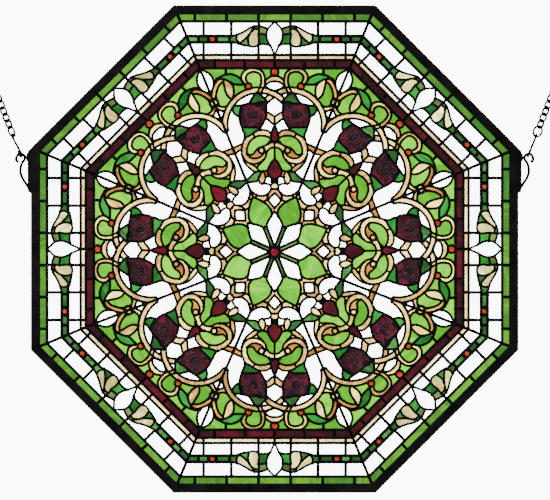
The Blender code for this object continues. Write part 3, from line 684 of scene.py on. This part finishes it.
FINISH = {
    # Rolled opalescent glass, a milky green that glows evenly and hides what is behind it.
    "border_green": streaked("moss green opalescent glass", "#163A0E", "#234310", "#305E0B", 0.8),
    # Clear water glass, almost colourless, so the pale tiles show by their lead lines alone.
    "clear_ripple": water_glass(),
    # Cathedral glass in forest green, dark and clear, for stems and calyxes.
    "deep_green": streaked("forest green cathedral glass", "#0A2209", "#123010", "#24501F", 0.85),
    # Opalescent olive, the dull green that sets stems apart from leaves.
    "olive": streaked("olive opalescent glass", "#222E14", "#30421E", "#4A5628", 0.75),
    # Cathedral glass in a cold green, the darkest of the leaves.
    "emerald": streaked("emerald cathedral glass", "#072A0A", "#0A3D0D", "#125217", 0.85),
    # Opalescent cream with grey-green wisps, for the petals in the border.
    "cream_petal": streaked("cream opalescent glass", "#756C3A", "#A39A58", "#E0D78E", 0.7),
    # Opalescent cream, nearly white, a quiet line beside the dark band.
    "pale_cream": streaked("pale cream opalescent glass", "#A88C55", "#D5B77B", "#F4E8B4", 0.7),
    # Wispy ruby, so dark that only its streaks show red.
    "ruby": streaked("ruby wispy glass", "#0C0103", "#150205", "#2C030B", 0.85, tones=0.3),
    # Cathedral garnet, one even deep red in each small bud.
    "bud_red": streaked("garnet cathedral glass", "#150104", "#210307", "#38040C", 0.85, tones=0.2),
    # Opalescent spring green, each piece its own shade, the ground of the whole field.
    "spring_green": streaked("spring green opalescent glass", "#245A03", "#327000", "#4C8A00", 0.8,
                             tones=0.5),
    # Wispy caramel and cream with short streaks, for the straps and scrolls.
    "caramel": streaked("caramel cream wispy glass", "#78592A", "#BC9C4A", "#E4CC6C", 0.7, 0.15, 0.008),
    # Wispy amber, the browner ends of the scrolls.
    "amber": streaked("amber wispy glass", "#5C3614", "#805518", "#A67822", 0.75, 0.15, 0.008),
    # Wine red cathedral glass painted lighter: a painted highlight where the lower petals of a rose
    # catch more light.
    "painted_lit_wine": streaked("wine red glass with painted light", "#120105", "#1D0208", "#360512", 0.85, tones=0.3),
    # Cathedral wine red, almost black until light comes through.
    "wine": streaked("wine red cathedral glass", "#050101", "#0A0102", "#20030B", 0.85, tones=0.45),
    # Wispy leaf green, bright and streaked, for the eight leaves in the middle.
    "leaf_green": streaked("leaf green wispy glass", "#1F5208", "#2C6C02", "#4C8A04", 0.8),
    # Pressed glass, a clear orange lump that glows at its middle.
    "fire_jewel": faceted("orange pressed glass", "#660703", "#7A2A04"),
    # Pressed glass in rose red, the deep spot at the centre.
    "rose_jewel": faceted("rose red pressed glass", "#36010A", "#560316"),
}
# Solder under black patina: dull, soft-edged, with small brighter rubs along the bead.
black_lead = dark_metal("black patina solder", "#1A1B1D", "#3A3C40", 0.42, 0.004)
# Solder painted a lighter grey than the black lead: a painted glint, standing for light caught on the
# thin lines that draw the folds of a rose.
painted_glint_seam = dark_metal("rose seam solder with painted glint", "#4A484C", "#96929A", 0.35, 0.004)
METAL = {"black_lead": black_lead, "painted_glint_seam": painted_glint_seam}
# Zinc channel under black lacquer: even and smooth, with a broad soft sheen.
black_channel = dark_metal("black lacquered zinc channel", "#2A2729", "#3F3C3E", 0.42, 0.02)
# Blackened steel wire, darker than the lead and nearly matt.
black_wire = dark_metal("black steel wire", "#121214", "#2A2B2F", 0.5, 0.003)


def finish_piece(obj, nodes):
    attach(obj, "root")
    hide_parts(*nodes)
    return obj


for name, (finish, body_slot, nodes, _) in GLASS.items():
    out = {"points": [], "faces": [], "grain": [], "tone": []}
    numbers = [n for n in piece_area if kind_of.get(n) == name]
    for n in sorted(numbers):
        slab(n, GLASS_THICKNESS, out)
    finish_piece(mesh_piece(name, out, FINISH[finish]), nodes)
    print(name, len(numbers), "pieces")

out = {"points": [], "faces": [], "grain": [], "tone": []}
for n in sorted(solder_gaps):
    slab(n, 4.2, out)
finish_piece(mesh_piece("solder_gaps", out, black_lead), [])
print(len(solder_gaps), "gaps flooded with solder")

# %% [markdown]
# ## Jewels
#
# Pressed jewels are round lumps of glass, domed on both faces, each held in its own ring of lead.

# %% Domed jewels
def dome_profile(radius, height, steps=5):
    """Half a jewel's outline from the front middle to the rim and on to the back."""
    turns = [math.pi * i / (2 * steps) for i in range(steps + 1)]
    front = [(radius * math.sin(a), -0.8 - (height - 0.8) * math.cos(a)) for a in turns]
    return front + [(r, -y) for r, y in reversed(front)]


def add_jewel(middle, radius, height, out, around=20):
    profile = dome_profile(radius, height)
    start = len(out["points"])
    inner = profile[1:-1]
    out["points"].append((middle[0] * SCALE, profile[0][1] * MM, middle[1] * SCALE + panel_middle))
    for ring_radius, depth in inner:
        for i in range(around):
            a = 2 * math.pi * i / around
            out["points"].append(((middle[0] + ring_radius * math.cos(a)) * SCALE, depth * MM,
                                  (middle[1] + ring_radius * math.sin(a)) * SCALE + panel_middle))
    out["points"].append((middle[0] * SCALE, profile[-1][1] * MM, middle[1] * SCALE + panel_middle))
    last = len(out["points"]) - 1
    for i in range(around):
        j = (i + 1) % around
        out["faces"].append([start, start + 1 + i, start + 1 + j])
        out["faces"].append([last, last - around + j, last - around + i])
        for ring in range(len(inner) - 1):
            a, b = start + 1 + ring * around, start + 1 + (ring + 1) * around
            out["faces"].append([a + i, b + i, b + j, a + j])


for name, (finish, body_slot, nodes, seeds) in JEWELS.items():
    out = {"points": [], "faces": []}
    middles = {}
    for x, y, radius in seeds:
        for k in range(8):
            for side in (1, -1):
                spot = placed((x, y), EIGHTH * k, side)
                middles[round(spot[0], 2) + 0.0, round(spot[1], 2) + 0.0] = radius
    for middle, radius in middles.items():
        add_jewel(middle, radius, 3.3 if radius > 6 else 2.4, out)
    jewel = mesh_piece(name, out, FINISH[finish])
    jewel.data.shade_smooth()
    finish_piece(jewel, nodes)
    print(name, len(middles))

# %% [markdown]
# ## Lead and solder
#
# The bead is a rounded strip of solder, a little wider than it looks in the gap, that follows
# each line on both faces. One node tree sweeps a section along every line and another sets a
# small puddle wherever lines meet.

# %% Beads along the lines
def new_tree(name, sockets):
    tree = bpy.data.node_groups.new(name, "GeometryNodeTree")
    tree.interface.new_socket("Geometry", in_out="INPUT", socket_type="NodeSocketGeometry")
    for label, kind in sockets:
        tree.interface.new_socket(label, in_out="INPUT", socket_type=kind)
    tree.interface.new_socket("Geometry", in_out="OUTPUT", socket_type="NodeSocketGeometry")
    return tree, tree.nodes.new("NodeGroupInput"), tree.nodes.new("NodeGroupOutput")


def bead_tree():
    tree, entry, exit_ = new_tree("solder bead", [
        ("Width", "NodeSocketFloat"), ("Depth", "NodeSocketFloat"), ("Sides", "NodeSocketInt"),
        ("Finish", "NodeSocketMaterial")])
    lines = node(tree, "GeometryNodeMeshToCurve", {"Mesh": entry.outputs["Geometry"]})
    upright = node(tree, "GeometryNodeSetCurveNormal", {"Curve": lines.outputs["Curve"]},
                   mode="Z_UP")
    ring = node(tree, "GeometryNodeCurvePrimitiveCircle",
                {"Resolution": entry.outputs["Sides"]}, Radius=0.5)
    size = node(tree, "ShaderNodeCombineXYZ",
                {"X": entry.outputs["Width"], "Y": entry.outputs["Depth"]}, Z=1.0)
    section = node(tree, "GeometryNodeTransform",
                   {"Geometry": ring.outputs["Curve"], "Scale": size.outputs["Vector"]})
    swept = node(tree, "GeometryNodeCurveToMesh",
                 {"Curve": upright.outputs["Curve"], "Profile Curve": section.outputs["Geometry"]},
                 Fill_Caps=True)
    shaded = node(tree, "GeometryNodeSetShadeSmooth", {"Geometry": swept.outputs["Mesh"]})
    dressed = node(tree, "GeometryNodeSetMaterial",
                   {"Geometry": shaded.outputs["Geometry"], "Material": entry.outputs["Finish"]})
    tree.links.new(dressed.outputs["Geometry"], exit_.inputs["Geometry"])
    return tree


def puddle_tree():
    tree, entry, exit_ = new_tree("solder puddles", [
        ("Width", "NodeSocketFloat"), ("Depth", "NodeSocketFloat"), ("Seed", "NodeSocketInt"),
        ("Finish", "NodeSocketMaterial")])
    ball = node(tree, "GeometryNodeMeshUVSphere", Segments=8, Rings=6, Radius=0.5)
    size = node(tree, "ShaderNodeCombineXYZ",
                {"X": entry.outputs["Width"], "Y": entry.outputs["Width"],
                 "Z": entry.outputs["Depth"]})
    flat = node(tree, "GeometryNodeTransform",
                {"Geometry": ball.outputs["Mesh"], "Scale": size.outputs["Vector"]})
    spread = node(tree, "FunctionNodeRandomValue", {"Seed": entry.outputs["Seed"]})
    spread.data_type = "FLOAT"
    spread.inputs[2].default_value = 0.8
    spread.inputs[3].default_value = 1.15
    dots = node(tree, "GeometryNodeInstanceOnPoints",
                {"Points": entry.outputs["Geometry"], "Instance": flat.outputs["Geometry"],
                 "Scale": spread.outputs[1]})
    real = node(tree, "GeometryNodeRealizeInstances", {"Geometry": dots.outputs["Instances"]})
    shaded = node(tree, "GeometryNodeSetShadeSmooth", {"Geometry": real.outputs["Geometry"]})
    dressed = node(tree, "GeometryNodeSetMaterial",
                   {"Geometry": shaded.outputs["Geometry"], "Material": entry.outputs["Finish"]})
    tree.links.new(dressed.outputs["Geometry"], exit_.inputs["Geometry"])
    return tree


def grown(name, points, edges, tree, inputs):
    """A plain mesh made by a node tree from points and edges in the drawing's plane."""
    guide = bpy.data.meshes.new(name)
    guide.from_pydata(points, edges, [])
    obj = bpy.data.objects.new(name, guide)
    bpy.context.scene.collection.objects.link(obj)
    modifier = obj.modifiers.new("made", "NODES")
    modifier.node_group = tree
    for item in tree.interface.items_tree:
        if item.in_out == "INPUT" and item.name in inputs:
            modifier[item.identifier] = inputs[item.name]
    graph = bpy.context.evaluated_depsgraph_get()
    mesh = bpy.data.meshes.new_from_object(obj.evaluated_get(graph))
    obj.modifiers.clear()
    obj.data = mesh
    mesh.name = name
    bpy.data.meshes.remove(guide)
    return obj


UPRIGHT = Matrix.Translation((0, 0, panel_middle)) @ Matrix.Rotation(math.pi / 2, 4, "X")


def as_guide(lines):
    points = [(x * SCALE, y * SCALE, 0.0) for line in lines for x, y in line]
    ends = np.cumsum([0] + [len(line) for line in lines])
    edges = [(int(i), int(i) + 1) for a, b in zip(ends, ends[1:]) for i in range(a, b - 1)]
    return points, edges


beads = bead_tree()
BEADS = {
    "border_lead": (4.1, 5.0, 8, "black_lead", ["leading"]),
    "spray_lead": (3.2, 5.0, 8, "black_lead", []),
    "scroll_lead": (3.4, 5.2, 8, "black_lead", []),
    "knot_lead": (3.2, 5.2, 8, "black_lead", []),
    "spoke_lead": (4.0, 5.0, 8, "black_lead", []),
    "inner_lead": (3.5, 5.2, 8, "black_lead", []),
    # The rose seams take the solder with the painted glint, a lighter grey standing for reflected light.
    "rose_seams": (1.5, 4.2, 6, "painted_glint_seam", []),
}
for name, (width, depth, sides, metal, nodes) in BEADS.items():
    points, edges = as_guide(came[name])
    lead = grown(name, points, edges, beads, {
        "Width": width * MM, "Depth": depth * MM, "Sides": sides, "Finish": METAL[metal]})
    lead.data.transform(UPRIGHT)
    finish_piece(lead, nodes)
    print(name, len(lead.data.polygons), "faces")

# %% Puddles where lines meet
meeting = {}
for a, b in seams:
    meeting.setdefault(a, set()).add(b)
    meeting.setdefault(b, set()).add(a)
joints = []
seam_spots = np.array([spot for line in came["rose_seams"] for spot in line])
for vertex in sorted(v for v, others in meeting.items() if len(others) >= 3):
    spot = spots[vertex]
    if distance_out(spot[None])[0] > CHANNEL_LIP - 2:
        continue
    if np.min(np.hypot(*(seam_spots - spot).T)) < 1.5:
        continue
    if all(np.hypot(*(spot - other)) > 4.5 for other in joints):
        joints.append(spot)
dots = grown("solder_puddles", [(x * SCALE, y * SCALE, 0.0) for x, y in joints], [], puddle_tree(), {
    "Width": 4.4 * MM, "Depth": 5.6 * MM, "Seed": 5, "Finish": black_lead})
dots.data.transform(UPRIGHT)
finish_piece(dots, [])

# %% [markdown]
# ## The channel
#
# The frame is cut from U-shaped metal channel, mitred at the eight corners. Beside each upper
# upright a flat strap, swollen near its top where the solder lies, carries the wire hanger.

# %% Eight mitred bars
FACE = 12.0
CHANNEL_ROUND = 0.9


def channel_section():
    """The channel's section, open towards the glass, as (distance in from the edge, depth)."""
    half = channel_depth / MM / 2
    slot, web, soft = 1.9, 3.0, CHANNEL_ROUND
    outer = [(soft * (1 - math.cos(a)), -half + soft * (1 - math.sin(a)))
             for a in (0, math.pi / 6, math.pi / 3, math.pi / 2)]
    lip = [(FACE - soft * (1 - math.sin(a)) * 0.6, -half + soft * 0.6 * (1 - math.cos(a)))
           for a in (0, math.pi / 4, math.pi / 2)]
    front = outer + lip + [(FACE, -slot), (web, -slot)]
    return front + [(x, -y) for x, y in reversed(front)]


def bar(side, section, gap, out):
    """One straight bar of the frame between its two mitres."""
    count = len(section)
    start = len(out["points"])
    for sign in (-1, 1):
        for inset, depth in section:
            apothem = half_panel / MM - inset * SCALE / MM
            x, y = placed((sign * (apothem * SLOPE - gap), apothem), EIGHTH * side, 1)
            out["points"].append((x * MM, depth * MM, y * MM + panel_middle))
    for i in range(count):
        j = (i + 1) % count
        out["faces"].append([start + i, start + j, start + count + j, start + count + i])
    out["faces"].append([start + i for i in reversed(range(count))])
    out["faces"].append([start + count + i for i in range(count)])


out = {"points": [], "faces": []}
section = channel_section()
for side in range(8):
    bar(side, section, 0.0, out)


STRAP = [(-2, 1.2), (3.2, -3.2), (6.0, -9.5), (6.0, -15.5), (4.3, -18.5), (4.3, -48.0),
         (2.2, -53.0), (1.4, -58.2), (-2, -58.2)]


def strap(side, out):
    """The flat strap beside the upright that carries a hanger."""
    corner, edge = half_panel * SLOPE / MM, half_panel / MM
    count, start = len(STRAP), len(out["points"])
    for depth in (-2.0, 2.0):
        out["points"] += [(side * (edge + x) * MM, depth * MM, (corner + y) * MM + panel_middle)
                          for x, y in STRAP]
    ring = [start + i for i in range(count)]
    faces = [ring, [i + count for i in ring[::-1]]]
    faces += [[b, a, a + count, b + count] for a, b in zip(ring, ring[1:] + ring[:1])]
    out["faces"] += [face[::-side] for face in faces]


strap(1, out)
strap(-1, out)
finish_piece(mesh_piece("channel", out, black_channel), ["frame"])


# %% [markdown]
# ## Wire hangers, hooks and chains
#
# Each hanger is one length of stiff wire, bent out from the frame, soldered where it touches the
# strap and curled at its end. An S-hook joins it to a chain, whose links turn left and right in
# turn as a twisted chain's do. The chain leans outwards, pulled taut by what it hangs from.

# %% Bent wire
LEAN = math.radians(21.2)
CORNER_UP = half_panel * SLOPE


def rounded(path, radius, material, name, sides=12, closed=False):
    """A round wire along a smooth path of points in space."""
    path = [Vector(point) for point in path]
    count = len(path)
    points, faces, across = [], [], None
    for i, point in enumerate(path):
        before = path[i - 1] if i or closed else point
        after = path[(i + 1) % count] if i < count - 1 or closed else point
        along = (after - before).normalized()
        across = along.orthogonal().normalized() if across is None else across
        across = (across - along * across.dot(along)).normalized()
        other = along.cross(across)
        for k in range(sides):
            a = 2 * math.pi * k / sides
            points.append(point + radius * (across * math.cos(a) + other * math.sin(a)))
    for i in range(count if closed else count - 1):
        for k in range(sides):
            a, b = i * sides + k, i * sides + (k + 1) % sides
            step = ((i + 1) % count) * sides
            faces.append([a, b, step + b % sides, step + a % sides])
    if not closed:
        faces.append(list(reversed(range(sides))))
        faces.append(list(range((count - 1) * sides, count * sides)))
    wire = mesh_piece(name, {"points": [tuple(p) for p in points], "faces": faces}, material)
    wire.data.shade_smooth()
    return wire


WIRE = {"hanger": 3.8, "hook": 3.2, "large": 2.8, "small": 2.8, "ring": 2.4}
HANGER = [(1.8, -57.5), (2.4, -53.0), (6.3, -46.5), (11.3, -38.5), (13.7, -31.0), (12.0, -20.6),
          (8.6, -15.4), (7.8, -11.8), (10.4, -8.6), (14.0, -7.3), (17.3, -9.3), (19.2, -13.7),
          (18.2, -17.4), (15.6, -17.2)]
for word, side in (("left", -1), ("right", 1)):
    bent = smooth(HANGER, 0.9)
    path = [(side * (half_panel + x * MM), 0.0, CORNER_UP + panel_middle + z * MM) for x, z in bent]
    hanger = rounded(path, WIRE["hanger"] / 2 * MM, black_wire, f"wire_hanger_{word}")
    finish_piece(hanger, [f"hanger_{word}"])

# %% Hooks and chains
HOLD = (14.0, -7.3)
GAP = 0.1
HOOK_BEND, HOOK_SHANK = 4.0, 23.0
HOOK_LIFT = HOOK_BEND - ((WIRE["hanger"] + WIRE["hook"]) / 2 + 2 * GAP) / math.cos(LEAN)
LARGE_LINK = (17.2, 13.6)
SMALL_LINK = (14.6, 11.6)
END_RING = (14.2, 14.2)
SMALL_LINKS = 6
TWIST = math.radians(36)
large_start = HOOK_LIFT + HOOK_SHANK + HOOK_BEND - WIRE["hook"] / 2 - GAP - WIRE["large"]
small_start = large_start + LARGE_LINK[0] - WIRE["large"] - WIRE["small"]
small_pitch = SMALL_LINK[0] - 2 * WIRE["small"]
ring_start = small_start + small_pitch * (SMALL_LINKS - 1) + SMALL_LINK[0] - WIRE["small"] - WIRE["ring"]


def chain_place(side):
    """Turns the chain's own upright axes to lean outwards from where the hanger holds it."""
    hold = Vector((half_panel + HOLD[0] * MM, 0, CORNER_UP + panel_middle + HOLD[1] * MM))
    lean = Matrix.Translation(hold) @ Matrix.Rotation(LEAN, 4, "Y")
    return Matrix.Diagonal((side, 1, 1, 1)) @ lean


def to_world(obj, side):
    obj.data.transform(chain_place(side))
    if side < 0:
        obj.data.flip_normals()
    return obj


def link_outline(size, wire, start, count=20, turn=0.0):
    """The middle line of one link, standing on the given height, in metres."""
    half, rise = (size[1] - wire) / 2, (size[0] - wire) / 2
    points = []
    for i in range(count):
        a = 2 * math.pi * i / count
        out, up = half * math.sin(a), start + wire / 2 + rise * (1 - math.cos(a))
        points.append((out * math.cos(turn) * MM, out * math.sin(turn) * MM, up * MM))
    return points


def chain_tree():
    tree, entry, exit_ = new_tree("row of links", [
        ("Count", "NodeSocketInt"), ("Pitch", "NodeSocketFloat"), ("Wire", "NodeSocketFloat"),
        ("Twist", "NodeSocketFloat"), ("Finish", "NodeSocketMaterial")])
    loop = node(tree, "GeometryNodeMeshToCurve", {"Mesh": entry.outputs["Geometry"]})
    radius = node(tree, "ShaderNodeMath", {0: entry.outputs["Wire"]}, operation="MULTIPLY")
    radius.inputs[1].default_value = 0.5
    section = node(tree, "GeometryNodeCurvePrimitiveCircle", {"Radius": radius.outputs[0]},
                   Resolution=8)
    link = node(tree, "GeometryNodeCurveToMesh",
                {"Curve": loop.outputs["Curve"], "Profile Curve": section.outputs["Curve"]})
    step = node(tree, "ShaderNodeCombineXYZ", {"Z": entry.outputs["Pitch"]})
    row = node(tree, "GeometryNodeMeshLine",
               {"Count": entry.outputs["Count"], "Offset": step.outputs["Vector"]})
    order = node(tree, "GeometryNodeInputIndex")
    odd = node(tree, "ShaderNodeMath", {0: order.outputs[0]}, operation="MODULO")
    odd.inputs[1].default_value = 2.0
    sign = node(tree, "ShaderNodeMath", {0: odd.outputs[0]}, operation="MULTIPLY_ADD")
    sign.inputs[1].default_value = -2.0
    sign.inputs[2].default_value = 1.0
    angle = node(tree, "ShaderNodeMath", {0: sign.outputs[0], 1: entry.outputs["Twist"]},
                 operation="MULTIPLY")
    turn = node(tree, "ShaderNodeCombineXYZ", {"Z": angle.outputs[0]})
    links = node(tree, "GeometryNodeInstanceOnPoints",
                 {"Points": row.outputs["Mesh"], "Instance": link.outputs["Mesh"],
                  "Rotation": turn.outputs["Vector"]})
    real = node(tree, "GeometryNodeRealizeInstances", {"Geometry": links.outputs["Instances"]})
    shaded = node(tree, "GeometryNodeSetShadeSmooth", {"Geometry": real.outputs["Geometry"]})
    dressed = node(tree, "GeometryNodeSetMaterial",
                   {"Geometry": shaded.outputs["Geometry"], "Material": entry.outputs["Finish"]})
    tree.links.new(dressed.outputs["Geometry"], exit_.inputs["Geometry"])
    return tree


def sweep(middle, radius, start, end, count=26):
    angles = np.radians(np.linspace(start, end, count))
    return [(radius * math.cos(a), middle + radius * math.sin(a)) for a in angles]


links_tree = chain_tree()
for word, side, hook_turn, link_turn in (("left", -1, 66, -52), ("right", 1, 85, 0)):
    turn = math.radians(hook_turn)
    ess = sweep(HOOK_LIFT, HOOK_BEND, 60, -180) + sweep(HOOK_LIFT + HOOK_SHANK, HOOK_BEND, 0, 222)
    ess = smooth([ess[i] for i in range(0, len(ess), 3)] + [ess[-1]], 0.8)
    path = [(x * math.cos(turn) * MM, x * math.sin(turn) * MM, z * MM) for x, z in ess]
    hook = rounded(path, WIRE["hook"] / 2 * MM, black_wire, f"s_hook_{word}")
    finish_piece(to_world(hook, side), [f"hook_{word}"])
    large = rounded(link_outline(LARGE_LINK, WIRE["large"], large_start, 28, math.radians(link_turn)),
                    WIRE["large"] / 2 * MM, black_wire, f"large_link_{word}", closed=True)
    finish_piece(to_world(large, side), [f"chain_{word}"])
    oval = link_outline(SMALL_LINK, WIRE["small"], small_start)
    small = grown(f"small_links_{word}", oval, [(i, (i + 1) % len(oval)) for i in range(len(oval))],
                  links_tree, {"Count": SMALL_LINKS, "Pitch": small_pitch * MM,
                               "Wire": WIRE["small"] * MM, "Twist": TWIST, "Finish": black_wire})
    finish_piece(to_world(small, side), [])
    last_turn = -TWIST if SMALL_LINKS % 2 else TWIST
    ring = rounded(link_outline(END_RING, WIRE["ring"], ring_start, 28, last_turn),
                   WIRE["ring"] / 2 * MM, black_wire, f"end_ring_{word}", closed=True)
    finish_piece(to_world(ring, side), [])

# %% [markdown]
# ## Room, light and camera
#
# The window hangs against a bright white wall of light, so that every colour shows by light
# coming through it, as it does in a real window. A soft lamp in front picks out the metal.

# %% A bright studio
BRIGHT_WALL = 10.5
DIM_ROOM = 0.25
world = bpy.data.worlds.new("bright wall behind, dim room in front")
world.use_nodes = True
sky = world.node_tree
facing = node(sky, "ShaderNodeSeparateXYZ",
              {"Vector": node(sky, "ShaderNodeTexCoord").outputs["Generated"]})
fade = node(sky, "ShaderNodeMapRange", {"Value": facing.outputs["Y"]}, interpolation_type="SMOOTHSTEP")
fade.inputs["From Min"].default_value = 0.8
fade.inputs["From Max"].default_value = 0.95
fade.inputs["To Min"].default_value = DIM_ROOM
fade.inputs["To Max"].default_value = BRIGHT_WALL
sky.links.new(fade.outputs["Result"], sky.nodes["Background"].inputs["Strength"])
sky.nodes["Background"].inputs["Color"].default_value = (1, 1, 1, 1)
bpy.context.scene.world = world

lamp_data = bpy.data.lights.new("front softbox", "AREA")
lamp_data.shape = "DISK"
lamp_data.size = 1.6
lamp_data.energy = 14.0
lamp = bpy.data.objects.new("front softbox", lamp_data)
lamp.location = (-1.2, -2.6, 1.4)
lamp.rotation_euler = (Vector((0, 0, panel_middle)) - lamp.location).to_track_quat("-Z", "Y").to_euler()
bpy.context.scene.collection.objects.link(lamp)

floor_material, _, _ = new_material("pale floor", Base_Color=linear("#E9E9E7"), Roughness=0.6)
floor_mesh = bpy.data.meshes.new("studio_floor")
floor_mesh.from_pydata([(-4, -4, -1.4), (4, -4, -1.4), (4, 4, -1.4), (-4, 4, -1.4)], [], [(0, 1, 2, 3)])
floor_mesh.materials.append(floor_material)
floor = bpy.data.objects.new("studio_floor", floor_mesh)
bpy.context.scene.collection.objects.link(floor)

VIEW_WIDTH = 0.7165
DISTANCE = 6.0
lens = bpy.data.cameras.new("front view")
lens.sensor_width = 36.0
lens.lens = 36.0 * DISTANCE / VIEW_WIDTH
camera = bpy.data.objects.new("front view", lens)
camera.location = (0.0005, -DISTANCE, panel_middle - 0.0013)
camera.rotation_euler = (math.pi / 2, 0, 0)
bpy.context.scene.collection.objects.link(camera)
bpy.context.scene.camera = camera

# %% The end
print("scene built")
